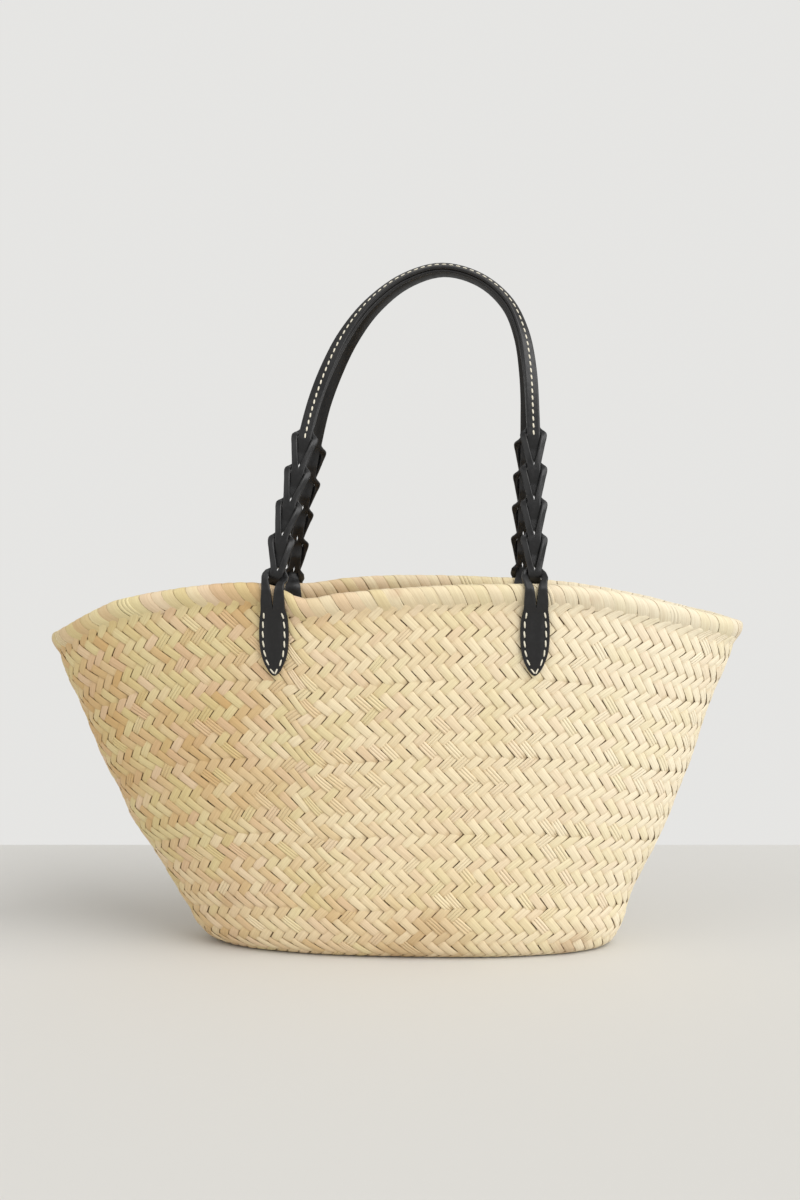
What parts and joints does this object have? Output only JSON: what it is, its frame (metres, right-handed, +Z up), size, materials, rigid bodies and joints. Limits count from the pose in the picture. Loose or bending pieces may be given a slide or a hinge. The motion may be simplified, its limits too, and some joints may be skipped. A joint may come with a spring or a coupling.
{
  "type": "straw basket bag",
  "caption": "Open oval palm straw basket bag with a flat base, a wrapped rim and arched leather shoulder handles braided where they meet the rim.",
  "frame": {"origin": "under the middle of the bag, on the surface it stands on", "axes": "+Z up, +X along the mouth's long side to the viewer's right, -Y towards the front wall"},
  "size_m": [0.5246, 0.1813, 0.5153],
  "materials": {
    "palm_straw": "plaited dry palm leaf, satin",
    "rim_straw": "palm leaf wrapped tight, satin",
    "black_leather": "smooth, half gloss, cream thread"
  },
  "bodies": {
    "root": {"basket": "palm_straw", "rim_binding": "rim_straw", "front_tab_strip": "black_leather", "front_inside_strip": "black_leather", "back_tab_strip": "black_leather", "back_inside_strip": "black_leather"}
  },
  "joints": []
}
